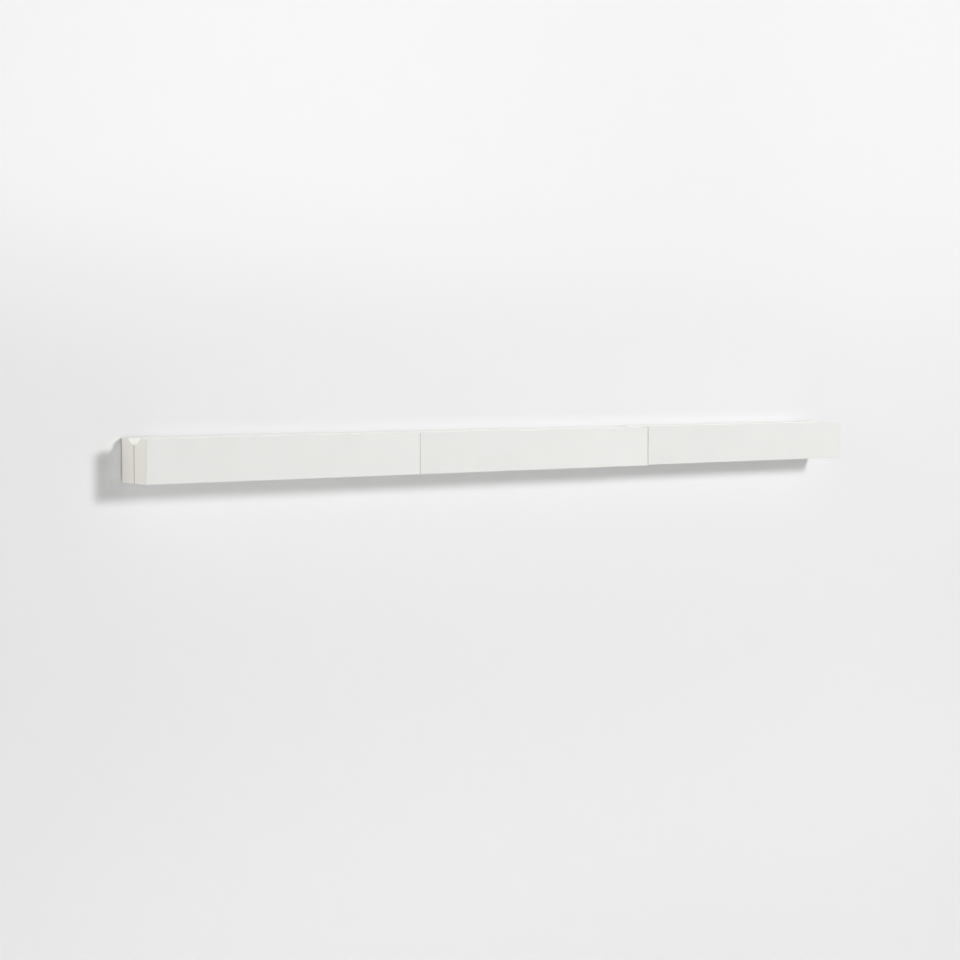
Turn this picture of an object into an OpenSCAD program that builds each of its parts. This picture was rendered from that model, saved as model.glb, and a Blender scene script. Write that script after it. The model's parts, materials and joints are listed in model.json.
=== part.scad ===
// A wall-hung picture ledge: three equal lengths, butted end to end.
// Each length is two mirrored rails with a round groove over their seam, and hooks on its own wall cleat.
// X runs along the ledge, +Y points to the wall, +Z is up. The wall is the plane y = 0, and the origin
// is the middle of the hole row in the middle wall cleat.

/* [Ledge] */
// Length of each of the three lengths
length_each = 610; // [560:5:900]
// Height of the ledge
ledge_height = 84; // [82:1:120]
// Depth of one rail, from its outer face to the seam
rail_depth = 50; // [44:1:70]
// Rounding of the rails' edges
edge_round = 1.2; // [0.6:0.1:2]
// Gap between the back of the ledge and the wall
wall_gap = 2; // [1:0.1:3]

/* [Groove] */
// Width of the groove at the top of the ledge
groove_width = 49; // [36:1:60]
// Depth of the groove at the seam
groove_depth = 12.7; // [8:0.1:15]
// Rounding where the groove meets the top of the ledge
groove_lip_round = 1.5; // [0.5:0.1:3]
// Chamfer round the groove's mouth in the end faces
groove_end_chamfer = 0.8; // [0.3:0.1:1.5]

/* [Hanging] */
// Gap between the left and the middle length
left_butt_gap = 0.4; // [0.3:0.1:2]
// Gap between the middle and the right length
right_butt_gap = 0.8; // [0.3:0.1:2]
// How much higher the right length is hung than the other two
right_rise = 1.2; // [0:0.1:3]
// How far a length lifts until it is clear of its wall cleat
lift_travel = 10; // [9:0.5:12]

/* [Cleats] */
// Length of a cleat
cleat_length = 500; // [440:5:540]
// Thickness of a cleat's metal
cleat_metal = 2.5; // [2:0.1:3]
// Height of a cleat's flat plate with its step
cleat_plate = 17; // [15:0.5:18]
// Length of the lip past the step
cleat_lip = 7; // [5:0.5:8]
// Slack behind, between and in front of the two hooked lips
lip_slack = 0.3; // [0.3:0.05:0.5]
// Gap under the tip of the shelf cleat's lip
lip_tip_gap = 0.5; // [0.3:0.1:1]
// Distance from the top of the ledge down to the shelf cleat
cleat_drop = 10; // [8:0.5:14]
// Distance between a wall cleat's two holes, the usual stud spacing
wall_hole_spacing = 406; // [300:1:430]
// Diameter of the holes for the wall screws
wall_hole_d = 5; // [4:0.1:6]

/* [Pocket] */
// Room over the shelf cleat and past both ends of the cleats
pocket_margin = 1; // [0.5:0.1:3]
// Room left under the wall cleat when a length is lifted off
pocket_lift_room = 2; // [1:0.1:4]

/* [Connector screws] */
// How far a connector screw reaches into the front rail
connector_grip = 32; // [20:1:40]
// Diameter of the head
connector_head_d = 10; // [9:0.1:11]
// Thickness of the head
connector_head_h = 3; // [2:0.1:4]
// Diameter of the plain neck under the head
connector_neck_d = 7; // [6:0.1:8]
// Length of the neck
connector_neck_length = 12; // [8:0.5:16]
// Diameter of the thread's core
connector_core_d = 5; // [4:0.1:5.5]
// Size of the hexagon socket across its flats
connector_socket = 4; // [3:0.5:5]
// Depth of the hexagon socket
connector_socket_depth = 2; // [1:0.1:2]
// How deep the head lies under the back of the ledge
connector_sink = 12; // [8:0.5:16]
// Distance from the middle of a length to its outer lower screws
connector_low_x = 230; // [190:5:260]
// Distance from the middle of a length to its upper screws
connector_high_x = 115; // [90:5:140]
// Distance from the top of the ledge down to the upper screws
connector_high_drop = 24; // [22:0.5:28]

/* [Cleat screws] */
// Diameter of a cleat screw's shank
cleat_screw_d = 3.5; // [3:0.1:4]
// Length of a cleat screw
cleat_screw_length = 20; // [14:1:30]
// Diameter of its countersunk head
cleat_screw_head_d = 7; // [6:0.1:8]
// Span of the cross recess in its head
cleat_screw_cross = 4; // [3:0.1:4.5]
// Width of the cross recess's slots
cross_slot = 0.9; // [0.6:0.1:1.2]
// Depth of the cross recess
cross_depth = 1.1; // [0.6:0.1:1.4]
// Diameter of the blunt point of every screw
screw_point_d = 1; // [0.5:0.1:2]
// Distance from the middle of a cleat to its inner screws
cleat_screw_inner_x = 60; // [30:5:90]
// Distance from the middle of a cleat to its outer screws
cleat_screw_outer_x = 210; // [160:5:215]

/* [Dowels] */
// Diameter of a dowel
dowel_d = 8; // [6:0.5:10]
// Length of a dowel, half in each rail
dowel_length = 40; // [30:1:60]
// Chamfer on the ends of a dowel
dowel_chamfer = 1; // [0.5:0.1:1.5]
// Height of the dowels over the bottom of the ledge
dowel_height = 42; // [30:1:50]
// Distance from the middle of a length to its inner dowels
dowel_inner_x = 60; // [30:5:90]
// Distance from the middle of a length to its outer dowels
dowel_outer_x = 190; // [150:5:220]

/* [Wall pads] */
// Diameter of a pad
pad_d = 12; // [8:0.5:16]
// Distance from the end of a length to the middle of its pad
pad_inset = 25; // [15:1:30]

/* [Fits] */
// Radial room round a driven screw or a dowel
drive_fit = 0.05; // [0.03:0.01:0.1]
// Radial room round a connector screw's head
head_fit = 0.25; // [0.1:0.05:0.5]
// Depth of a blind hole past the tip of its screw
blind_room = 2; // [1:0.5:5]
// Depth of a blind hole past each end of its dowel
dowel_end_room = 1; // [0.5:0.1:2]

/* [Hidden] */
$fn = 64;
groove_fn = 256;
// How far a cut runs past the surface that it opens
over = 1;

// Heights inside one length, from the bottom of the ledge up
shelf_plate_top = ledge_height - cleat_drop;
hook_height = shelf_plate_top - cleat_plate;
wall_step_top = hook_height - cleat_lip;
wall_plate_bottom = wall_step_top - cleat_plate;
wall_hole_height = wall_plate_bottom + (cleat_plate - cleat_metal) / 2;
cleat_screw_height = shelf_plate_top - (cleat_plate - cleat_metal) / 2;
pocket_bottom = wall_plate_bottom - lift_travel - pocket_lift_room;
pocket_top = shelf_plate_top + pocket_margin;
low_land_height = pocket_bottom / 2;
connector_high_height = ledge_height - connector_high_drop;

// Depths from the wall into the room
wall_lip_face = 2 * cleat_metal + 2 * lip_slack;
shelf_plate_face = wall_lip_face + lip_slack;
seam_y = -wall_gap - rail_depth;
connector_head_y = -wall_gap - connector_sink;
connector_length = rail_depth - connector_sink + connector_grip;
cleat_screw_head_y = -shelf_plate_face + cleat_metal;
cleat_screw_head_h = (cleat_screw_head_d - cleat_screw_d) / 2;

groove_radius = (groove_width * groove_width / 4 + groove_depth * groove_depth) / (2 * groove_depth);
groove_centre_height = ledge_height - groove_depth + groove_radius;

// Where each length hangs: the x of its middle and its bottom's height
left = [-length_each - left_butt_gap, -wall_hole_height];
middle = [0, -wall_hole_height];
right = [length_each + right_butt_gap, right_rise - wall_hole_height];

rail_colour = [0.93, 0.93, 0.92];
metal_colour = [0.76, 0.77, 0.78];
zinc_colour = [0.84, 0.82, 0.72];
beech_colour = [0.80, 0.66, 0.47];
rubber_colour = [0.30, 0.30, 0.31];

function mirrored(xs) = [for (x = xs, side = [-1, 1]) side * x];
connector_spots = concat(
    [for (x = [-connector_low_x, 0, connector_low_x]) [x, low_land_height]],
    [for (x = mirrored([connector_high_x])) [x, connector_high_height]]
);
dowel_spots = [for (x = mirrored([dowel_inner_x, dowel_outer_x])) [x, dowel_height]];
cleat_screw_spots = [for (x = mirrored([cleat_screw_inner_x, cleat_screw_outer_x])) [x, cleat_screw_height]];

// Moves a piece from the middle of a length, bottom at zero, to where that length hangs
module hang(place) {
    translate([place[0], 0, place[1]]) children();
}

// Repeats a shape at spots [x, z], each turned so that its own Z runs into the room, from depth y
module drive(spots, y) {
    for (spot = spots)
        translate([spot[0], y, spot[1]]) rotate([90, 0, 0]) children();
}

module eased_square(width, height, r) {
    translate([r, 0]) square([width - 2 * r, height]);
    translate([0, r]) square([width, height - 2 * r]);
    for (x = [r, width - r], y = [r, height - r])
        translate([x, y]) circle(r);
}

// Half of the ledge's section, from the seam outwards: the groove is cut and its lip is rounded
module rail_section() {
    lip_z = ledge_height - groove_lip_round;
    lip_x = sqrt(pow(groove_radius + groove_lip_round, 2) - pow(groove_centre_height - lip_z, 2));
    touch = groove_radius / (groove_radius + groove_lip_round);
    difference() {
        eased_square(rail_depth, ledge_height, edge_round);
        translate([0, groove_centre_height]) circle(groove_radius, $fn = groove_fn);
        polygon([
            [lip_x, lip_z],
            [lip_x, ledge_height + over],
            [0, ledge_height + over],
            [lip_x * touch, groove_centre_height + (lip_z - groove_centre_height) * touch]
        ]);
    }
    translate([lip_x, lip_z]) circle(groove_lip_round);
}

// One rail with its seam face on the plane y = 0 and its outer face at y = rail_depth
module rail_blank() {
    run = groove_end_chamfer + over;
    difference() {
        intersection() {
            rotate([90, 0, 90]) linear_extrude(length_each, center = true) rail_section();
            translate([-length_each / 2, 0, 0])
                linear_extrude(ledge_height) eased_square(length_each, rail_depth, edge_round);
            translate([-length_each / 2, rail_depth, 0]) rotate([90, 0, 0])
                linear_extrude(rail_depth) eased_square(length_each, ledge_height, edge_round);
        }
        for (side = [-1, 1])
            translate([side * (length_each / 2 + over), 0, groove_centre_height]) rotate([0, -90 * side, 0])
                cylinder(r1 = groove_radius + run, r2 = groove_radius, h = run, $fn = groove_fn);
    }
}

module rear_rail(place) {
    color(rail_colour) hang(place) difference() {
        translate([0, seam_y, 0]) rail_blank();
        translate([-cleat_length / 2 - pocket_margin, -shelf_plate_face, pocket_bottom])
            cube([cleat_length + 2 * pocket_margin, shelf_plate_face, pocket_top - pocket_bottom]);
        drive(connector_spots, 0)
            cylinder(d = connector_head_d + 2 * head_fit, h = wall_gap + connector_sink + connector_head_h);
        drive(connector_spots, connector_head_y)
            cylinder(d = connector_neck_d + 2 * drive_fit, h = connector_head_h + connector_neck_length);
        drive(connector_spots, connector_head_y)
            cylinder(d = connector_core_d + 2 * drive_fit, h = connector_head_y - seam_y + over);
        drive(cleat_screw_spots, cleat_screw_head_y)
            cylinder(d = cleat_screw_d + 2 * drive_fit, h = cleat_screw_length + blind_room);
        drive(dowel_spots, seam_y + dowel_length / 2 + dowel_end_room)
            cylinder(d = dowel_d + 2 * drive_fit, h = dowel_length / 2 + dowel_end_room + over);
    }
}

module front_rail(place) {
    color(rail_colour) hang(place) difference() {
        translate([0, seam_y, 0]) mirror([0, 1, 0]) rail_blank();
        drive(connector_spots, connector_head_y)
            cylinder(d = connector_core_d + 2 * drive_fit, h = connector_length + blind_room);
        drive(dowel_spots, seam_y + over)
            cylinder(d = dowel_d + 2 * drive_fit, h = over + dowel_length / 2 + dowel_end_room);
    }
}

module dowels(place) {
    color(beech_colour) hang(place) drive(dowel_spots, seam_y + dowel_length / 2) {
        cylinder(d1 = dowel_d - 2 * dowel_chamfer, d2 = dowel_d, h = dowel_chamfer);
        translate([0, 0, dowel_chamfer])
            cylinder(d = dowel_d, h = dowel_length - 2 * dowel_chamfer);
        translate([0, 0, dowel_length - dowel_chamfer])
            cylinder(d1 = dowel_d, d2 = dowel_d - 2 * dowel_chamfer, h = dowel_chamfer);
    }
}

module connector_screws(place) {
    tip = connector_core_d / 2;
    color(zinc_colour) hang(place) drive(connector_spots, connector_head_y) difference() {
        union() {
            cylinder(d = connector_head_d, h = connector_head_h);
            cylinder(d = connector_neck_d, h = connector_head_h + connector_neck_length);
            cylinder(d = connector_core_d, h = connector_length - tip);
            translate([0, 0, connector_length - tip])
                cylinder(d1 = connector_core_d, d2 = screw_point_d, h = tip);
        }
        translate([0, 0, -over])
            cylinder(d = connector_socket / cos(30), h = connector_socket_depth + over, $fn = 6);
    }
}

// A Z-bar's section: the plate, the step across its end, and the lip that goes on past the step
module cleat_section(lip_face, lip) {
    square([cleat_metal, cleat_plate]);
    translate([0, cleat_plate - cleat_metal]) square([lip_face, cleat_metal]);
    translate([lip_face - cleat_metal, cleat_plate - cleat_metal]) square([cleat_metal, cleat_metal + lip]);
}

module wall_cleat(place) {
    color(metal_colour) hang(place) difference() {
        translate([0, 0, wall_plate_bottom]) rotate([90, 0, -90])
            linear_extrude(cleat_length, center = true) cleat_section(wall_lip_face, cleat_lip);
        drive([for (side = [-1, 1]) [side * wall_hole_spacing / 2, wall_hole_height]], over)
            cylinder(d = wall_hole_d, h = cleat_metal + 2 * over);
    }
}

module shelf_cleat(place) {
    color(metal_colour) hang(place) difference() {
        translate([0, -shelf_plate_face, shelf_plate_top]) rotate([-90, 0, 90])
            linear_extrude(cleat_length, center = true)
                cleat_section(shelf_plate_face - lip_slack, cleat_lip - lip_tip_gap);
        drive(cleat_screw_spots, cleat_screw_head_y) {
            cylinder(
                d1 = cleat_screw_head_d + 2 * drive_fit,
                d2 = cleat_screw_d + 2 * drive_fit,
                h = cleat_screw_head_h
            );
            cylinder(d = cleat_screw_d + 2 * drive_fit, h = cleat_metal + over);
        }
    }
}

module cleat_screws(place) {
    color(zinc_colour) hang(place) drive(cleat_screw_spots, cleat_screw_head_y) difference() {
        union() {
            cylinder(d1 = cleat_screw_head_d, d2 = cleat_screw_d, h = cleat_screw_head_h);
            cylinder(d = cleat_screw_d, h = cleat_screw_length - cleat_screw_d);
            translate([0, 0, cleat_screw_length - cleat_screw_d])
                cylinder(d1 = cleat_screw_d, d2 = screw_point_d, h = cleat_screw_d);
        }
        for (turn = [0, 90]) rotate(turn)
            translate([-cleat_screw_cross / 2, -cross_slot / 2, -over])
                cube([cleat_screw_cross, cross_slot, over + cross_depth]);
    }
}

module wall_pads(place) {
    pad_x = length_each / 2 - pad_inset;
    color(rubber_colour) hang(place) drive([[-pad_x, low_land_height], [pad_x, low_land_height]], 0)
        cylinder(d = pad_d, h = wall_gap);
}

rear_rail(left);  // left_rear_rail
front_rail(left);  // left_front_rail
dowels(left);  // left_dowels
connector_screws(left);  // left_connector_screws
shelf_cleat(left);  // left_shelf_cleat
cleat_screws(left);  // left_cleat_screws
wall_pads(left);  // left_wall_pads
wall_cleat(left);  // left_wall_cleat
rear_rail(middle);  // middle_rear_rail
front_rail(middle);  // middle_front_rail
dowels(middle);  // middle_dowels
connector_screws(middle);  // middle_connector_screws
shelf_cleat(middle);  // middle_shelf_cleat
cleat_screws(middle);  // middle_cleat_screws
wall_pads(middle);  // middle_wall_pads
wall_cleat(middle);  // middle_wall_cleat
rear_rail(right);  // right_rear_rail
front_rail(right);  // right_front_rail
dowels(right);  // right_dowels
connector_screws(right);  // right_connector_screws
shelf_cleat(right);  // right_shelf_cleat
cleat_screws(right);  // right_cleat_screws
wall_pads(right);  // right_wall_pads
wall_cleat(right);  // right_wall_cleat
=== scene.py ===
import json
import math

import bpy
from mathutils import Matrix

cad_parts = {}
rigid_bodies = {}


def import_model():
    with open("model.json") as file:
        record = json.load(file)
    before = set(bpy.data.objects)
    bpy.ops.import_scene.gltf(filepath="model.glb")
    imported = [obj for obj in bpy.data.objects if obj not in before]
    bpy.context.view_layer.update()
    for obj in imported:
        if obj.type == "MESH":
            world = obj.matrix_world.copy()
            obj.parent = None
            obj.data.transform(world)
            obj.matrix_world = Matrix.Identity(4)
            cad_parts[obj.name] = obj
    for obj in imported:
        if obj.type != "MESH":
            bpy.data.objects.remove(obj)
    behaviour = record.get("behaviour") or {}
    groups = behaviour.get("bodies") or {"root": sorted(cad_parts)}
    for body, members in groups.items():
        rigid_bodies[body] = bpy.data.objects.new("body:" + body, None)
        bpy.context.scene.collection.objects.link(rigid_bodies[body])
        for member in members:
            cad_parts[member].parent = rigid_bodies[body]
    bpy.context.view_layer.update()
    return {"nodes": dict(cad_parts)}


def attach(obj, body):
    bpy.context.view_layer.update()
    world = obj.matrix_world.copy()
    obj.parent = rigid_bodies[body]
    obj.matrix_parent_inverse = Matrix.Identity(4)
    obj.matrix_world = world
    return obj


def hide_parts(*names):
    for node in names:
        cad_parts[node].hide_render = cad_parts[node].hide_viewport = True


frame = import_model()

# Rear and front rails, one of each to a length. Each is a solid MDF moulding: its side of the groove is
# cut on a spindle moulder, its edges are eased, and it is sprayed all round in satin white lacquer. The
# pocket and the screw holes in the back are routed and drilled after that, so they show bare brown board.


def srgb(code):
    """The linear colour of an sRGB hex value."""
    parts = [int(code[i:i + 2], 16) / 255 for i in (1, 3, 5)]
    return [c / 12.92 if c <= 0.04045 else ((c + 0.055) / 1.055) ** 2.4 for c in parts] + [1.0]


def add(tree, kind, settings=None, inputs=None):
    """A new node with its settings, and its inputs set to values or linked from sockets. Inputs go by name
    or number: MapRange takes 0 from the range 1, 2 to the range 3, 4, and a colour Mix is 6 to 7 by 0."""
    node = tree.nodes.new("ShaderNode" + kind)
    for name, value in (settings or {}).items():
        setattr(node, name, value)
    for name, value in (inputs or {}).items():
        if isinstance(value, bpy.types.NodeSocket):
            tree.links.new(value, node.inputs[name])
        else:
            node.inputs[name].default_value = value
    return node


def empty_material(name):
    """A material with nothing in it but its output."""
    made = bpy.data.materials.new(name)
    made.use_nodes = True
    made.node_tree.nodes.clear()
    return made, made.node_tree, add(made.node_tree, "OutputMaterial")


def coat(node_name, material):
    """Gives a CAD node this material in every slot."""
    for slot in frame["nodes"][node_name].material_slots:
        slot.material = material


# Sizes are in metres: a length with its two rails, and the gaps at the wall and at the two joints
length = 0.610
ledge_height = 0.084
rail_depth = 0.050
wall_gap = 0.002
narrow_gap = 0.0004
wide_gap = 0.0008
# The foot's height, how much higher the right length hangs, and each length's middle and foot
foot_z = -0.04025
rise = 0.0012
places = {
    "left": (-length - narrow_gap, foot_z),
    "middle": (0.0, foot_z),
    "right": (length + wide_gap, foot_z + rise),
}
# The lacquer's tone on each length, where the film is thin and where it is thick: a shade darker towards
# the right, as painted shade that offsets the key's stronger light there
batch_tones_and_shade = {
    "left": ("#E5E5E3", "#E7E7E5"),
    "middle": ("#E2E2E0", "#E4E4E2"),
    "right": ("#DEDEDC", "#E0E0DE"),
}
# The seam, and the groove as an arc of its cutter. Heights within a length are from its foot
seam_y = -wall_gap - rail_depth
groove_width = 0.049
groove_depth = 0.0127
groove_radius = (groove_width ** 2 / 4 + groove_depth ** 2) / (2 * groove_depth)
groove_axis_z = ledge_height - groove_depth + groove_radius
# Where the board is bare: the pocket and the counterbores, each a little larger than it is cut
pocket_half_x = 0.2511
pocket_half_z = 0.0271
pocket_middle_z = 0.048
pocket_floor_y = -0.0061
low_row_z = 0.0105
high_row_z = 0.060
low_screw_x = 0.230
high_screw_x = 0.115
counterbores = ((0.0, low_row_z), (low_screw_x, low_row_z), (high_screw_x, high_row_z))
counterbore_r = 0.0054
counterbore_floor_y = -0.0175

# The tone of each length's left and right end. An open end is creamier than the faces, and is also painted
# paler as painted light. An end that butts on a neighbour is painted darker, as painted shade in the joint,
# and the two at the wider joint darker still
open_end_tone_and_light = "#F7F4EB"
narrow_joint_shade = "#DAD7CE"
wide_joint_shade = "#C8C3B9"
ends = {
    "left": (open_end_tone_and_light, narrow_joint_shade),
    "middle": (narrow_joint_shade, wide_joint_shade),
    "right": (wide_joint_shade, open_end_tone_and_light),
}
# The middle and half of the height that the neighbour covers
butted_middle_z = ledge_height / 2
butted_half_z = ledge_height / 2 - rise - 0.0001
# At scale 1 a wave texture's bands are this far apart
wave_spacing = 0.314

# Satin lacquer on MDF: a soft broad sheen, an orange peel of about 2 mm, and a tone that steps darker from
# length to length towards the right, as painted shade. Cut ends and the groove drink more lacquer, so they
# are creamier and flatter, and the open ends are also painted paler, as painted light.
for side, (middle_x, bottom_z) in places.items():
    lacquer, tree, out = empty_material(f"satin_white_lacquer_on_MDF_{side}")
    seat = add(tree, "TexCoord")
    local = add(tree, "VectorMath", {"operation": "SUBTRACT"},
                {0: seat.outputs["Object"], 1: (middle_x, 0, bottom_z)})
    xyz = add(tree, "SeparateXYZ", {}, {0: local.outputs[0]})
    normal = add(tree, "SeparateXYZ", {}, {0: seat.outputs["Normal"]})

    # The lacquer's colour: clouds 70 mm wide, where the film is a little thicker or thinner, between the
    # length's two tones, which hold its painted shade
    clouds = add(tree, "TexNoise", {"noise_dimensions": "4D"},
                 {"Vector": local.outputs[0], "W": middle_x, "Scale": 1 / 0.070, "Detail": 2.0})
    film = add(tree, "ValToRGB", {}, {0: clouds.outputs[0]})
    film.color_ramp.elements[0].position = 0.35
    film.color_ramp.elements[0].color = srgb(batch_tones_and_shade[side][0])
    film.color_ramp.elements[1].position = 0.65
    film.color_ramp.elements[1].color = srgb(batch_tones_and_shade[side][1])

    # Cut ends: faces that look along X
    facing = add(tree, "Math", {"operation": "ABSOLUTE"}, {0: normal.outputs[0]})
    cut_end = add(tree, "MapRange", {}, {0: facing.outputs[0], 1: 0.6, 2: 0.95})
    # The groove: all that lies within the cutter's radius of its axis
    across = add(tree, "CombineXYZ", {}, {1: xyz.outputs[1], 2: xyz.outputs[2]})
    from_axis = add(tree, "VectorMath", {"operation": "DISTANCE"},
                    {0: across.outputs[0], 1: (0, seam_y, groove_axis_z)})
    in_groove = add(tree, "MapRange", {},
                    {0: from_axis.outputs["Value"], 1: groove_radius + 0.0012, 2: groove_radius + 0.0002})
    thirsty = add(tree, "Math", {"operation": "MAXIMUM"},
                  {0: cut_end.outputs[0], 1: in_groove.outputs[0]})
    # Fibre that shows through where the film is thin, 1.2 mm long
    fibre = add(tree, "TexNoise", {},
                {"Vector": local.outputs[0], "Scale": 1 / 0.0012, "Detail": 3.0})
    fibre_share = add(tree, "Math", {"operation": "MULTIPLY_ADD"},
                      {0: fibre.outputs[0], 1: 0.30, 2: 0.70})
    thin_film = add(tree, "Math", {"operation": "MULTIPLY"},
                    {0: thirsty.outputs[0], 1: fibre_share.outputs[0]})
    # Each end's tone: an open end painted paler, as painted light, and a butting end painted darker, as
    # painted shade in the joint
    to_right = add(tree, "Math", {"operation": "GREATER_THAN"}, {0: xyz.outputs[0], 1: 0.0})
    butted = add(tree, "Mix", {"data_type": "RGBA"},
                 {0: to_right.outputs[0], 6: srgb(ends[side][0]), 7: srgb(ends[side][1])})
    # One length hangs 1.2 mm higher, so a strip that tall shows at the top or foot of a butting end
    not_strip = add(tree, "Math", {"operation": "COMPARE"},
                    {0: xyz.outputs[2], 1: butted_middle_z, 2: butted_half_z})
    end_tone = add(tree, "Mix", {"data_type": "RGBA"},
                   {0: not_strip.outputs[0], 6: srgb(open_end_tone_and_light), 7: butted.outputs[2]})
    thin_tone = add(tree, "Mix", {"data_type": "RGBA"},
                    {0: in_groove.outputs[0], 6: end_tone.outputs[2], 7: srgb("#F0EEE8")})
    covered = add(tree, "Mix", {"data_type": "RGBA"},
                  {0: thin_film.outputs[0], 6: film.outputs[0], 7: thin_tone.outputs[2]})
    # The seam: painted shade, a dark line down the bottom of the V between the two rails' eased edges
    from_seam = add(tree, "Math", {"operation": "SUBTRACT"}, {0: xyz.outputs[1], 1: seam_y})
    off_seam = add(tree, "Math", {"operation": "ABSOLUTE"}, {0: from_seam.outputs[0]})
    seam_shade_profile = add(tree, "MapRange", {"interpolation_type": "SMOOTHSTEP"},
                 {0: off_seam.outputs[0], 1: 0.0003, 2: 0.0013, 3: 1.0, 4: 0.0})
    outside = add(tree, "Math", {"operation": "SUBTRACT"}, {0: 1.0, 1: in_groove.outputs[0]})
    painted_seam_shade = add(tree, "Math", {"operation": "MULTIPLY"}, {0: seam_shade_profile.outputs[0], 1: outside.outputs[0]})
    lacquer_with_seam_shade = add(tree, "Mix", {"data_type": "RGBA"},
                  {0: painted_seam_shade.outputs[0], 6: covered.outputs[2], 7: srgb("#43392D")})

    # Bare board: inside the pocket's outline, or within a counterbore
    half_x = add(tree, "Math", {"operation": "ABSOLUTE"}, {0: xyz.outputs[0]})
    inside_x = add(tree, "Math", {"operation": "LESS_THAN"}, {0: half_x.outputs[0], 1: pocket_half_x})
    inside_z = add(tree, "Math", {"operation": "COMPARE"},
                   {0: xyz.outputs[2], 1: pocket_middle_z, 2: pocket_half_z})
    deep = add(tree, "Math", {"operation": "GREATER_THAN"}, {0: xyz.outputs[1], 1: pocket_floor_y})
    in_outline = add(tree, "Math", {"operation": "MULTIPLY"},
                     {0: inside_x.outputs[0], 1: inside_z.outputs[0]})
    bare = add(tree, "Math", {"operation": "MULTIPLY"}, {0: in_outline.outputs[0], 1: deep.outputs[0]})
    on_back = add(tree, "CombineXYZ", {}, {0: half_x.outputs[0], 2: xyz.outputs[2]})
    behind = add(tree, "Math", {"operation": "GREATER_THAN"},
                 {0: xyz.outputs[1], 1: counterbore_floor_y})
    for x, z in counterbores:
        away = add(tree, "VectorMath", {"operation": "DISTANCE"},
                   {0: on_back.outputs[0], 1: (x, 0, z)})
        near = add(tree, "Math", {"operation": "LESS_THAN"},
                   {0: away.outputs["Value"], 1: counterbore_r})
        drilled = add(tree, "Math", {"operation": "MULTIPLY"},
                      {0: near.outputs[0], 1: behind.outputs[0]})
        bare = add(tree, "Math", {"operation": "MAXIMUM"}, {0: bare.outputs[0], 1: drilled.outputs[0]})
    # MDF's pressed fibres, drawn 2 mm long so that they show, and the router's passes, 9 mm apart
    fibres = add(tree, "TexNoise", {},
                 {"Vector": local.outputs[0], "Scale": 1 / 0.002, "Detail": 6.0, "Roughness": 0.7})
    passes = add(tree, "TexWave", {"bands_direction": "Z", "wave_profile": "SAW"},
                 {"Vector": local.outputs[0], "Scale": wave_spacing / 0.009, "Distortion": 0.6,
                  "Detail": 1.0})
    routed = add(tree, "Math", {"operation": "MULTIPLY_ADD"},
                 {0: passes.outputs[1], 1: 0.25, 2: fibres.outputs[0]})
    board = add(tree, "ValToRGB", {}, {0: routed.outputs[0]})
    board.color_ramp.elements[0].position = 0.35
    board.color_ramp.elements[0].color = srgb("#8F7250")
    board.color_ramp.elements[1].position = 0.95
    board.color_ramp.elements[1].color = srgb("#C0A27A")
    colour = add(tree, "Mix", {"data_type": "RGBA"},
                 {0: bare.outputs[0], 6: lacquer_with_seam_shade.outputs[2], 7: board.outputs[0]})

    # Sheen: 0.38 on the faces, flatter on the thin film, dry on bare board
    sheen = add(tree, "MapRange", {}, {0: clouds.outputs[0], 1: 0.3, 2: 0.7, 3: 0.36, 4: 0.42})
    flatter = add(tree, "Math", {"operation": "MULTIPLY_ADD"},
                  {0: thin_film.outputs[0], 1: 0.10, 2: sheen.outputs[0]})
    roughness = add(tree, "Mix", {}, {0: bare.outputs[0], 2: flatter.outputs[0], 3: 0.88})

    # Orange peel 2 mm wide and some 6 microns high, and fibre that the bare board stands up in
    peel = add(tree, "TexNoise", {}, {"Vector": local.outputs[0], "Scale": 1 / 0.002, "Detail": 1.0})
    relief = add(tree, "Mix", {}, {0: bare.outputs[0], 2: peel.outputs[0], 3: routed.outputs[0]})
    height = add(tree, "MapRange", {}, {0: bare.outputs[0], 3: 0.00001, 4: 0.0001})
    bump = add(tree, "Bump", {},
               {"Strength": 1.0, "Distance": height.outputs[0], "Height": relief.outputs[0]})
    shader = add(tree, "BsdfPrincipled", {},
                 {"Base Color": colour.outputs[2], "Roughness": roughness.outputs[0], "IOR": 1.50,
                  "Normal": bump.outputs[0]})
    tree.links.new(shader.outputs[0], out.inputs["Surface"])
    coat(f"{side}_rear_rail", lacquer)
    coat(f"{side}_front_rail", lacquer)

# Dowels across the seam, four to a length: 8 mm beech rod with pressed flutes that let the glue out, cut
# to 40 mm and chamfered at both ends. They line the two rails up while the glue sets.


def turned(name, spots, back_y, rings, sides, crease):
    """A mesh of like turned pieces, driven towards the room at spots (x, z) from depth back_y. A ring is
    (depth, radius), where the radius may be a function of the angle."""
    corners, faces = [], []
    for x, z in spots:
        first = len(corners)
        for depth, radius in rings:
            for k in range(sides):
                a = math.tau * k / sides
                r = radius(a) if callable(radius) else radius
                corners.append((x + r * math.cos(a), back_y - depth, z + r * math.sin(a)))
        for j in range(len(rings) - 1):
            for k in range(sides):
                here, there = first + j * sides, first + (j + 1) * sides
                n = (k + 1) % sides
                faces.append((here + k, here + n, there + n, there + k))
        faces.append([first + k for k in reversed(range(sides))])
        faces.append([len(corners) - sides + k for k in range(sides)])
    mesh = bpy.data.meshes.new(name)
    mesh.from_pydata(corners, [], faces)
    mesh.polygons.foreach_set("use_smooth", [True] * len(mesh.polygons))
    mesh.set_sharp_from_angle(angle=math.radians(crease))
    return mesh


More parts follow.
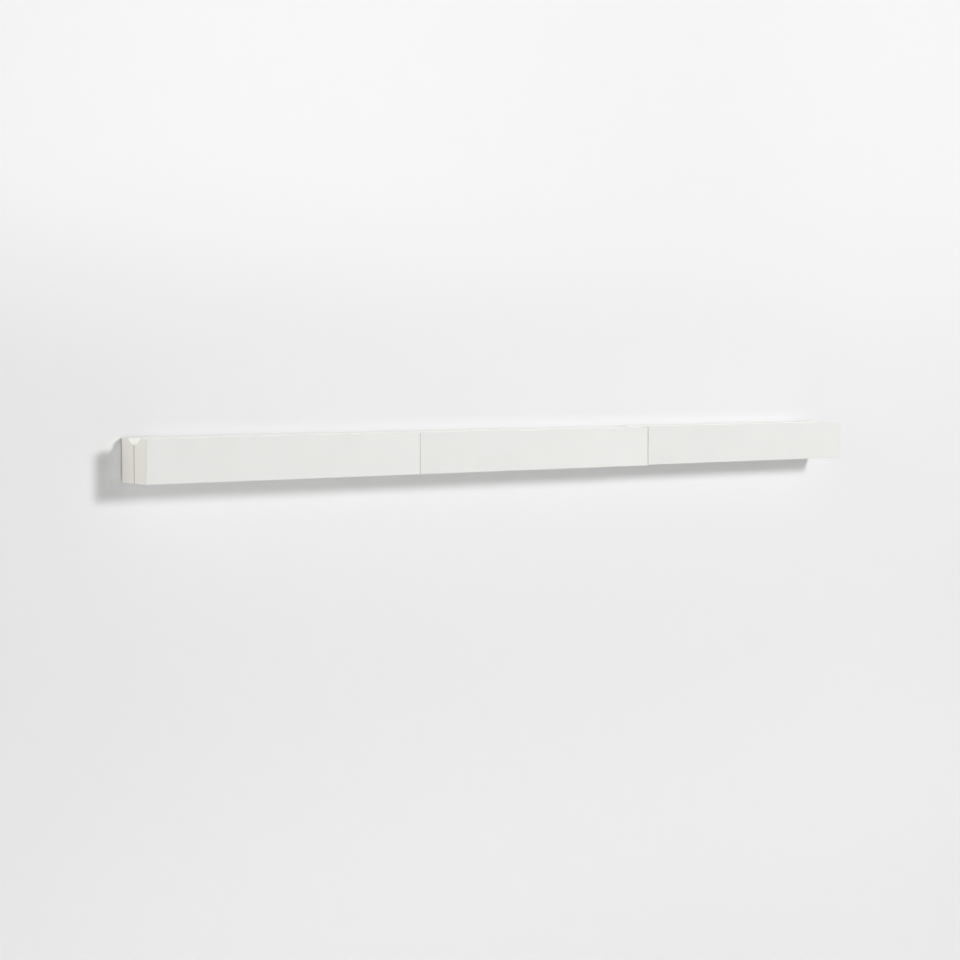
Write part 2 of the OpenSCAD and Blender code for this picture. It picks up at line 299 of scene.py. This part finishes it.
def dress(mesh, piece, material):
    """Puts a mesh made for the middle length into all three, in place of their CAD nodes."""
    mesh.materials.append(material)
    for side, (x, z) in places.items():
        obj = bpy.data.objects.new(f"{side}_{piece}_made", mesh)
        obj.location = (x, 0, z - foot_z)
        bpy.context.scene.collection.objects.link(obj)
        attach(obj, f"{side}_length")
        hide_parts(f"{side}_{piece}")


dowel_r = 0.004
dowel_length = 0.040
dowel_chamfer = 0.001
dowels_z = 0.042
flutes = 18
flute_depth = 0.0003
flute_from_end = 0.0016


def fluted(a):
    """The dowel's radius at an angle."""
    return dowel_r - flute_depth * (0.5 - 0.5 * math.cos(flutes * a))


# Beech, turned and left raw: pale pink-tan, with short dark flecks along the grain
beech, tree, out = empty_material("beech_dowel_rod_unfinished")
seat = add(tree, "TexCoord")
along = add(tree, "Mapping", {}, {"Vector": seat.outputs["Object"], "Scale": (1, 0.12, 1)})
grain = add(tree, "TexNoise", {},
            {"Vector": along.outputs[0], "Scale": 1 / 0.0008, "Detail": 4.0, "Roughness": 0.6})
flecks = add(tree, "TexVoronoi", {}, {"Vector": along.outputs[0], "Scale": 1 / 0.0012})
dark = add(tree, "MapRange", {}, {0: flecks.outputs["Distance"], 1: 0.05, 2: 0.25})
wood = add(tree, "ValToRGB", {}, {0: grain.outputs[0]})
wood.color_ramp.elements[0].position = 0.3
wood.color_ramp.elements[0].color = srgb("#C9A276")
wood.color_ramp.elements[1].position = 0.7
wood.color_ramp.elements[1].color = srgb("#DDBD93")
flecked = add(tree, "Mix", {"data_type": "RGBA"},
              {0: dark.outputs[0], 6: srgb("#B08458"), 7: wood.outputs[0]})
bump = add(tree, "Bump", {}, {"Distance": 0.00003, "Height": grain.outputs[0]})
shader = add(tree, "BsdfPrincipled", {},
             {"Base Color": flecked.outputs[2], "Roughness": 0.62, "IOR": 1.50, "Normal": bump.outputs[0]})
tree.links.new(shader.outputs[0], out.inputs["Surface"])

dowel_spots = [(x, foot_z + dowels_z) for x in (-0.190, -0.060, 0.060, 0.190)]
dowel_rings = [
    (0, dowel_r - dowel_chamfer), (dowel_chamfer, dowel_r), (flute_from_end, fluted),
    (dowel_length - flute_from_end, fluted), (dowel_length - dowel_chamfer, dowel_r),
    (dowel_length, dowel_r - dowel_chamfer),
]
dowels = turned("fluted_dowels", dowel_spots, seam_y + dowel_length / 2, dowel_rings, sides=108, crease=40)
dress(dowels, "dowels", beech)

# Connector screws, five to a length: zinc-plated steel furniture screws with a flat hexagon-socket head,
# a plain neck and a coarse rolled thread. They are driven from the back and pull the front rail home.


def hexagon(flats):
    """The radius of a hexagon, this wide across its flats, at an angle."""
    return lambda a: flats / 2 / math.cos(a % (math.pi / 3) - math.pi / 6)


def thread(start, end, core, crest, pitch, steps, taper):
    """Rings of a thread from one depth to another, with this many to a turn. The first turn runs in, and
    the last taper is cut down to a point."""
    rings = []
    for j in range(math.ceil((end - start) / pitch * steps) + 1):
        depth = min(start + j * pitch / steps, end)
        run_in = min(1.0, (depth - start) / pitch)
        full = 1.0 if depth < end - taper else 0.2 + 0.8 * (end - depth) / taper

        # The ridge takes up 5/8 of the pitch
        def at(a, depth=depth, run_in=run_in, full=full):
            turn = (depth / pitch - a / math.tau) % 1.0
            ridge = max(0.0, 1.0 - abs(turn - 0.5) * 3.2)
            return full * (crest - (crest - core) * (1.0 - ridge) * run_in)

        rings.append((depth, at))
    return rings


connector_head_y = -wall_gap - 0.012
connector_length = 0.070
head_r = 0.005
neck_r = 0.0035
crest_r = 0.0025
socket = hexagon(0.0040)
socket_mouth = hexagon(0.0044)
# From the socket's floor up to the face of the head, then down its side and the neck to the thread
connector_rings = [
    (0.0020, lambda a: 0.4 * socket(a)), (0.0018, socket), (0.0002, socket), (0, socket_mouth),
    (0, head_r - 0.0006), (0.0002, head_r - 0.0002), (0.0006, head_r), (0.0026, head_r),
    (0.0030, head_r - 0.0004), (0.0030, neck_r), (0.0146, neck_r), (0.0150, neck_r - 0.0004),
    (0.0150, crest_r),
] + thread(0.0152, connector_length, core=0.0019, crest=crest_r, pitch=0.003, steps=4, taper=0.003)

# Zinc plate, clear passivated: a cool silver-grey with faint straw and blue clouds and a soft polish
zinc, tree, out = empty_material("zinc_plated_steel_clear_passivated")
seat = add(tree, "TexCoord")
clouds = add(tree, "TexNoise", {}, {"Vector": seat.outputs["Object"], "Scale": 1 / 0.005, "Detail": 2.0})
tint = add(tree, "ValToRGB", {}, {0: clouds.outputs[0]})
tint.color_ramp.elements[0].position = 0.35
tint.color_ramp.elements[0].color = srgb("#C6CBD0")
tint.color_ramp.elements[1].position = 0.65
tint.color_ramp.elements[1].color = srgb("#D3D0C4")
scuffs = add(tree, "TexNoise", {},
             {"Vector": seat.outputs["Object"], "Scale": 1 / 0.0006, "Detail": 3.0})
dull = add(tree, "MapRange", {}, {0: scuffs.outputs[0], 1: 0.3, 2: 0.7, 3: 0.26, 4: 0.40})
bump = add(tree, "Bump", {}, {"Distance": 0.000006, "Height": scuffs.outputs[0]})
shader = add(tree, "BsdfPrincipled", {},
             {"Base Color": tint.outputs[0], "Metallic": 1.0, "Roughness": dull.outputs[0],
              "Normal": bump.outputs[0]})
tree.links.new(shader.outputs[0], out.inputs["Surface"])

connector_spots = ([(x, foot_z + low_row_z) for x in (-low_screw_x, 0.0, low_screw_x)]
                   + [(x, foot_z + high_row_z) for x in (-high_screw_x, high_screw_x)])
connectors = turned("hex_connector_screws", connector_spots, connector_head_y, connector_rings,
                    sides=24, crease=32)
dress(connectors, "connector_screws", zinc)

# Shelf cleats, one to a length: a 500 mm piece of extruded aluminium Z-bar, mill finish, sawn to length,
# drilled and countersunk. It lies in the rear rail's pocket with its lip hanging down.

# Mill-finish extrusion: bright satin, with die lines along the bar some 0.5 mm apart and a faint grey bloom
mill, tree, out = empty_material("aluminium_extrusion_mill_finish")
seat = add(tree, "TexCoord")
drawn = add(tree, "Mapping", {}, {"Vector": seat.outputs["Object"], "Scale": (0.01, 1, 1)})
lines = add(tree, "TexNoise", {},
            {"Vector": drawn.outputs[0], "Scale": 1 / 0.0005, "Detail": 4.0, "Roughness": 0.65})
bloom = add(tree, "TexNoise", {}, {"Vector": seat.outputs["Object"], "Scale": 1 / 0.030, "Detail": 3.0})
both = add(tree, "Math", {"operation": "MULTIPLY_ADD"},
           {0: bloom.outputs[0], 1: 0.6, 2: lines.outputs[0]})
metal = add(tree, "ValToRGB", {}, {0: both.outputs[0]})
metal.color_ramp.elements[0].position = 0.5
metal.color_ramp.elements[0].color = srgb("#C3C4C6")
metal.color_ramp.elements[1].position = 1.0
metal.color_ramp.elements[1].color = srgb("#DCDDDE")
dull = add(tree, "MapRange", {}, {0: both.outputs[0], 1: 0.5, 2: 1.0, 3: 0.30, 4: 0.44})
bump = add(tree, "Bump", {}, {"Distance": 0.00001, "Height": lines.outputs[0]})
shader = add(tree, "BsdfPrincipled", {},
             {"Base Color": metal.outputs[0], "Metallic": 1.0, "Roughness": dull.outputs[0],
              "Anisotropic": 0.4, "Normal": bump.outputs[0]})
tree.links.new(shader.outputs[0], out.inputs["Surface"])
for side in places:
    coat(f"{side}_shelf_cleat", mill)

# Cleat screws, four to a shelf cleat: 3.5 by 20 mm zinc-plated chipboard screws. The countersunk head
# sits flush in the bar, with a cross recess whose walls narrow towards the bottom.


def cross(span, slot):
    """The radius of a cross recess, with arms this long and wide, at an angle."""
    def at(a):
        c, s = abs(math.cos(a)) + 1e-9, abs(math.sin(a)) + 1e-9
        return max(min(span / 2 / c, slot / 2 / s), min(span / 2 / s, slot / 2 / c))
    return at


cleat_face_y = -0.0034
cleat_screws_z = 0.06675
cleat_screw_length = 0.020
shank_r = 0.00175
# From the recess's floor up to the face of the head, then down the countersink and the neck
cleat_screw_rings = [
    (0.0011, cross(0.0014, 0.0006)), (0.0006, cross(0.0034, 0.0008)), (0, cross(0.0040, 0.0009)),
    (0, 0.0034), (0.0001, 0.0035), (0.00175, shank_r), (0.0030, shank_r),
] + thread(0.0032, cleat_screw_length, core=0.0012, crest=shank_r, pitch=0.0016, steps=4, taper=0.0035)
cleat_screw_spots = [(x, foot_z + cleat_screws_z) for x in (-0.210, -0.060, 0.060, 0.210)]
cleat_screws = turned("countersunk_cleat_screws", cleat_screw_spots, cleat_face_y, cleat_screw_rings,
                      sides=48, crease=32)
dress(cleat_screws, "cleat_screws", zinc)

# Wall pads, two to a length: moulded grey rubber discs, 12 mm wide and 2 mm thick, stuck low on the back.
# They keep the ledge plumb and its foot off the paint. The face has a rounded rim and moulded rings.

# Moulded rubber: mid grey, matt, with the fine spark-eroded grain of its mould
rubber, tree, out = empty_material("moulded_grey_rubber_matt")
seat = add(tree, "TexCoord")
grit = add(tree, "TexNoise", {}, {"Vector": seat.outputs["Object"], "Scale": 1 / 0.0003, "Detail": 2.0})
dusting = add(tree, "TexNoise", {},
              {"Vector": seat.outputs["Object"], "Scale": 1 / 0.004, "Detail": 2.0})
tone = add(tree, "ValToRGB", {}, {0: dusting.outputs[0]})
tone.color_ramp.elements[0].position = 0.35
tone.color_ramp.elements[0].color = srgb("#4B4C4E")
tone.color_ramp.elements[1].position = 0.75
tone.color_ramp.elements[1].color = srgb("#5E5F61")
bump = add(tree, "Bump", {}, {"Distance": 0.00002, "Height": grit.outputs[0]})
shader = add(tree, "BsdfPrincipled", {},
             {"Base Color": tone.outputs[0], "Roughness": 0.78, "IOR": 1.52, "Normal": bump.outputs[0]})
tree.links.new(shader.outputs[0], out.inputs["Surface"])

pad_r = 0.006
pad_x = length / 2 - 0.025
# From the dimple in the middle of the face, over the rings and the rim, to the rail
pad_rings = [
    (0.0002, 0.0006), (0, 0.0009), (0, 0.0022), (0.0003, 0.0024), (0.0003, 0.0030), (0, 0.0032),
    (0, 0.0044), (0.0001, 0.0052), (0.0003, 0.0057), (0.0007, pad_r), (wall_gap, pad_r),
]
pad_spots = [(x, foot_z + low_row_z) for x in (-pad_x, pad_x)]
pads = turned("rubber_wall_pads", pad_spots, 0, pad_rings, sides=48, crease=50)
dress(pads, "wall_pads", rubber)

# Wall cleats, one to a length: the same Z-bar, lip up, screwed to the wall through two holes on stud
# centres. A length is hung by dropping its shelf cleat behind this lip.
for side in places:
    coat(f"{side}_wall_cleat", mill)

# The wall, matt white paint on plaster, and the floor, 1.46 m under the ledge. Neither has a back, so that
# the ledge can be seen from behind and from below.


def panel(name, corners, material):
    """A flat backdrop."""
    mesh = bpy.data.meshes.new(name)
    mesh.from_pydata(corners, [], [range(len(corners))])
    mesh.materials.append(material)
    obj = bpy.data.objects.new(name, mesh)
    bpy.context.scene.collection.objects.link(obj)
    return obj


def paint_front(tree, out, colour):
    """Matt paint on the front of a face, and nothing on its back."""
    front = add(tree, "BsdfDiffuse", {}, {"Color": colour})
    clear = add(tree, "BsdfTransparent")
    side_of = add(tree, "NewGeometry")
    shown = add(tree, "MixShader", {},
                {0: side_of.outputs["Backfacing"], 1: front.outputs[0], 2: clear.outputs[0]})
    tree.links.new(shown.outputs[0], out.inputs["Surface"])


# Matt emulsion, painted a shade paler towards the left, the top and the foot of the wall: painted light,
# for the room's light falling unevenly on it
emulsion, tree, out = empty_material("matt_white_wall_paint")
seat = add(tree, "TexCoord")
xyz = add(tree, "SeparateXYZ", {}, {0: seat.outputs["Object"]})
soft = {"interpolation_type": "SMOOTHSTEP"}
to_right = add(tree, "MapRange", soft, {0: xyz.outputs[0], 1: -1.3, 2: 0.8})
upward = add(tree, "MapRange", soft, {0: xyz.outputs[2], 1: 0.12, 2: 0.60})
downward = add(tree, "MapRange", soft, {0: xyz.outputs[2], 1: -0.3, 2: -1.0})
level = add(tree, "Mix", {"data_type": "RGBA"},
            {0: to_right.outputs[0], 6: srgb("#EEEEEF"), 7: srgb("#E5E5E6")})
foot = add(tree, "Mix", {"data_type": "RGBA"},
           {0: to_right.outputs[0], 6: srgb("#F4F4F5"), 7: srgb("#EBEBEC")})
over = add(tree, "Mix", {"data_type": "RGBA"},
           {0: to_right.outputs[0], 6: srgb("#FBFBFC"), 7: srgb("#E8E8E9")})
lower = add(tree, "Mix", {"data_type": "RGBA"},
            {0: downward.outputs[0], 6: level.outputs[2], 7: foot.outputs[2]})
tone = add(tree, "Mix", {"data_type": "RGBA"},
           {0: upward.outputs[0], 6: lower.outputs[2], 7: over.outputs[2]})
# Light that the ledge's top throws back: the paint is a shade paler over it, most in the last 35 mm
close = add(tree, "MapRange", soft, {0: xyz.outputs[2], 1: 0.08, 2: 0.045, 4: 0.45})
over_ledge = add(tree, "MapRange", soft, {0: xyz.outputs[2], 1: 0.32, 2: 0.05, 4: 0.14})
paler = add(tree, "Math", {"operation": "ADD"}, {0: close.outputs[0], 1: over_ledge.outputs[0]})
above = add(tree, "Math", {"operation": "GREATER_THAN"}, {0: xyz.outputs[2], 1: 0.0})
sideways = add(tree, "Math", {"operation": "ABSOLUTE"}, {0: xyz.outputs[0]})
along_ledge = add(tree, "MapRange", soft, {0: sideways.outputs[0], 1: 0.97, 2: 0.80})
share = add(tree, "Math", {"operation": "MULTIPLY"}, {0: paler.outputs[0], 1: above.outputs[0]})
bounce = add(tree, "Math", {"operation": "MULTIPLY"}, {0: share.outputs[0], 1: along_ledge.outputs[0]})
tone = add(tree, "Mix", {"data_type": "RGBA"},
           {0: bounce.outputs[0], 6: tone.outputs[2], 7: srgb("#FAFAFB")})
# Light that the open left end throws into its own shadow: the last 35 mm beside it are paler, as far as
# the dark gap behind the ledge
left_end_x = places["left"][0] - length / 2
beside = add(tree, "MapRange", {},
             {0: xyz.outputs[0], 1: left_end_x - 0.0346, 2: left_end_x - 0.0036, 4: 0.82})
past_end = add(tree, "Math", {"operation": "LESS_THAN"}, {0: xyz.outputs[0], 1: left_end_x - 0.0012})
height = add(tree, "Math", {"operation": "ABSOLUTE"}, {0: xyz.outputs[2]})
at_end = add(tree, "MapRange", soft, {0: height.outputs[0], 1: 0.045, 2: 0.022})
share = add(tree, "Math", {"operation": "MULTIPLY"}, {0: beside.outputs[0], 1: past_end.outputs[0]})
bounce = add(tree, "Math", {"operation": "MULTIPLY"}, {0: share.outputs[0], 1: at_end.outputs[0]})
tone = add(tree, "Mix", {"data_type": "RGBA"},
           {0: bounce.outputs[0], 6: tone.outputs[2], 7: srgb("#FDFDFE")})
paint_front(tree, out, tone.outputs[2])

floor_z = -1.5
wall_top = 1.4
wall_half_x = 2.2
wall_corners = [
    (-wall_half_x, 0, floor_z), (wall_half_x, 0, floor_z),
    (wall_half_x, 0, wall_top), (-wall_half_x, 0, wall_top),
]
wall = panel("wall", wall_corners, emulsion)

# A pale floor with a faint mottle half a metre wide, out to 40 m
boards, tree, out = empty_material("pale_matt_floor")
seat = add(tree, "TexCoord")
mottle = add(tree, "TexNoise", {}, {"Vector": seat.outputs["Object"], "Scale": 2.0, "Detail": 3.0})
tone = add(tree, "ValToRGB", {}, {0: mottle.outputs[0]})
tone.color_ramp.elements[0].color = srgb("#F1F1EF")
tone.color_ramp.elements[1].color = srgb("#F6F6F4")
paint_front(tree, out, tone.outputs[0])

floor_r = 40
rim = [math.tau * k / 64 for k in range(64)]
floor = panel("floor", [(floor_r * math.cos(a), floor_r * math.sin(a), floor_z) for a in rim], boards)

# Light: an even room, brighter towards a window at its left end and a smaller one at its right, and a
# soft key from the upper right, near enough that the ledge's shadow fans out.

# The room's own light, and what the two windows add, which falls to half 21 degrees off their middles
room_light = 0.27
left_window = 2.85
right_window = 1.0
window_falloff = 10.0
world = bpy.data.worlds.new("white_studio")
bpy.context.scene.world = world
world.use_nodes = True
world.node_tree.nodes.clear()
out = add(world.node_tree, "OutputWorld")
path = add(world.node_tree, "LightPath")
heading = add(world.node_tree, "TexCoord")
along = add(world.node_tree, "SeparateXYZ", {}, {0: heading.outputs["Generated"]})
sideways = add(world.node_tree, "Math", {"operation": "ABSOLUTE"}, {0: along.outputs[0]})
spread = add(world.node_tree, "Math", {"operation": "POWER"},
             {0: sideways.outputs[0], 1: window_falloff})
panes = add(world.node_tree, "MapRange", {},
            {0: along.outputs[0], 1: -1.0, 2: 1.0, 3: left_window, 4: right_window})
level = add(world.node_tree, "Math", {"operation": "MULTIPLY_ADD"},
            {0: spread.outputs[0], 1: panes.outputs[0], 2: room_light})
fill = add(world.node_tree, "Background", {}, {"Color": srgb("#FFFFFF"), "Strength": level.outputs[0]})
seen = add(world.node_tree, "Background", {}, {"Color": srgb("#F4F4F4"), "Strength": 1.0})
# The camera, mirrors and glass all see the same pale background
mirrored = add(world.node_tree, "Math", {"operation": "MAXIMUM"},
               {0: path.outputs["Is Camera Ray"], 1: path.outputs["Is Glossy Ray"]})
backdrop = add(world.node_tree, "Math", {"operation": "MAXIMUM"},
               {0: mirrored.outputs[0], 1: path.outputs["Is Transmission Ray"]})
both = add(world.node_tree, "MixShader", {},
           {0: backdrop.outputs[0], 1: fill.outputs[0], 2: seen.outputs[0]})
world.node_tree.links.new(both.outputs[0], out.inputs["Surface"])


def hang_lamp(lamp, heading, spot=(0.0, 0.0, 0.0)):
    """Puts a lamp at a spot, turned to shine along a heading."""
    obj = bpy.data.objects.new(lamp.name, lamp)
    obj.location = spot
    x, y, z = heading
    obj.rotation_euler = (math.acos(-z / math.hypot(x, y, z)), 0, math.atan2(-x, y))
    bpy.context.scene.collection.objects.link(obj)
    return obj


def sun(name, heading, strength, angle):
    """A distant lamp that shines along a heading and looks as wide as an angle in radians."""
    lamp = bpy.data.lights.new(name, "SUN")
    lamp.energy = strength
    lamp.angle = angle
    return hang_lamp(lamp, heading)


# The key leaves no highlight, as the photograph shows none: the lacquer mirrors the pale room
key_spot = (1.63, -4.8, 1.63)
softbox = bpy.data.lights.new("key_upper_right", "AREA")
softbox.shape = "DISK"
softbox.size = 1.13
softbox.energy = 160.0
key = hang_lamp(softbox, [-v for v in key_spot], key_spot)
key.visible_camera = False
key.visible_glossy = False

# The key lights the wall and the ledge, and a distant twin of it lights the floor, so that the floor has
# no hot spot. A lamp overhead lights only the ledge. Two lamps behind it light nothing else either, only
# the ledge shades them, and their light stops at the first surface, so that they leave the wall and the
# dark gap at it alone. The low one gives the rails' backs their tone and no highlight, and the broad one is
# the pale room that bare metal would mirror there
ledge = bpy.data.collections.new("ledge")
hardware = bpy.data.collections.new("hardware")
in_key_light = bpy.data.collections.new("in_key_light")
ground = bpy.data.collections.new("ground")
ground.objects.link(floor)
in_key_light.objects.link(wall)
for obj in bpy.context.scene.objects:
    if obj.type == "MESH" and obj not in (wall, floor):
        ledge.objects.link(obj)
        in_key_light.objects.link(obj)
        if "cleat" in obj.name or "screws" in obj.name:
            hardware.objects.link(obj)
key.light_linking.receiver_collection = in_key_light
floor_key = sun("floor_key", (-0.53, 1.0, -0.335), strength=4.45, angle=0.19)
floor_key.light_linking.receiver_collection = ground
overhead = sun("overhead", (0.0, 0.001, -1.0), strength=0.80, angle=0.30)
overhead.light_linking.receiver_collection = ledge
back_low = sun("back_low", (0.0, -1.0, 0.14), strength=2.5, angle=0.22)
back_low.light_linking.receiver_collection = ledge
back_low.visible_glossy = False
back_broad = sun("back_broad", (-0.1, -1.0, -0.1), strength=1.5, angle=2.4)
back_broad.light_linking.receiver_collection = hardware
for lamp in (back_low, back_broad):
    lamp.light_linking.blocker_collection = ledge
    lamp.data.cycles.max_bounces = 0

# The camera: to the left of the ledge and a little over it, with the lens and the heading, in degrees,
# that the ledge's corners gave.
camera_data = bpy.data.cameras.new("photograph_view")
camera_data.lens = 74.06
camera_data.sensor_width = 36.0
camera_data.clip_end = 200.0
camera = bpy.data.objects.new("photograph_view", camera_data)
camera.location = (-2.5828, -3.3540, 0.1722)
tilt_down = 3.23
turn_right = 36.74
camera.rotation_euler = (math.radians(90 - tilt_down), 0, math.radians(-turn_right))
bpy.context.scene.collection.objects.link(camera)
bpy.context.scene.camera = camera
bpy.context.scene.view_settings.view_transform = "Standard"
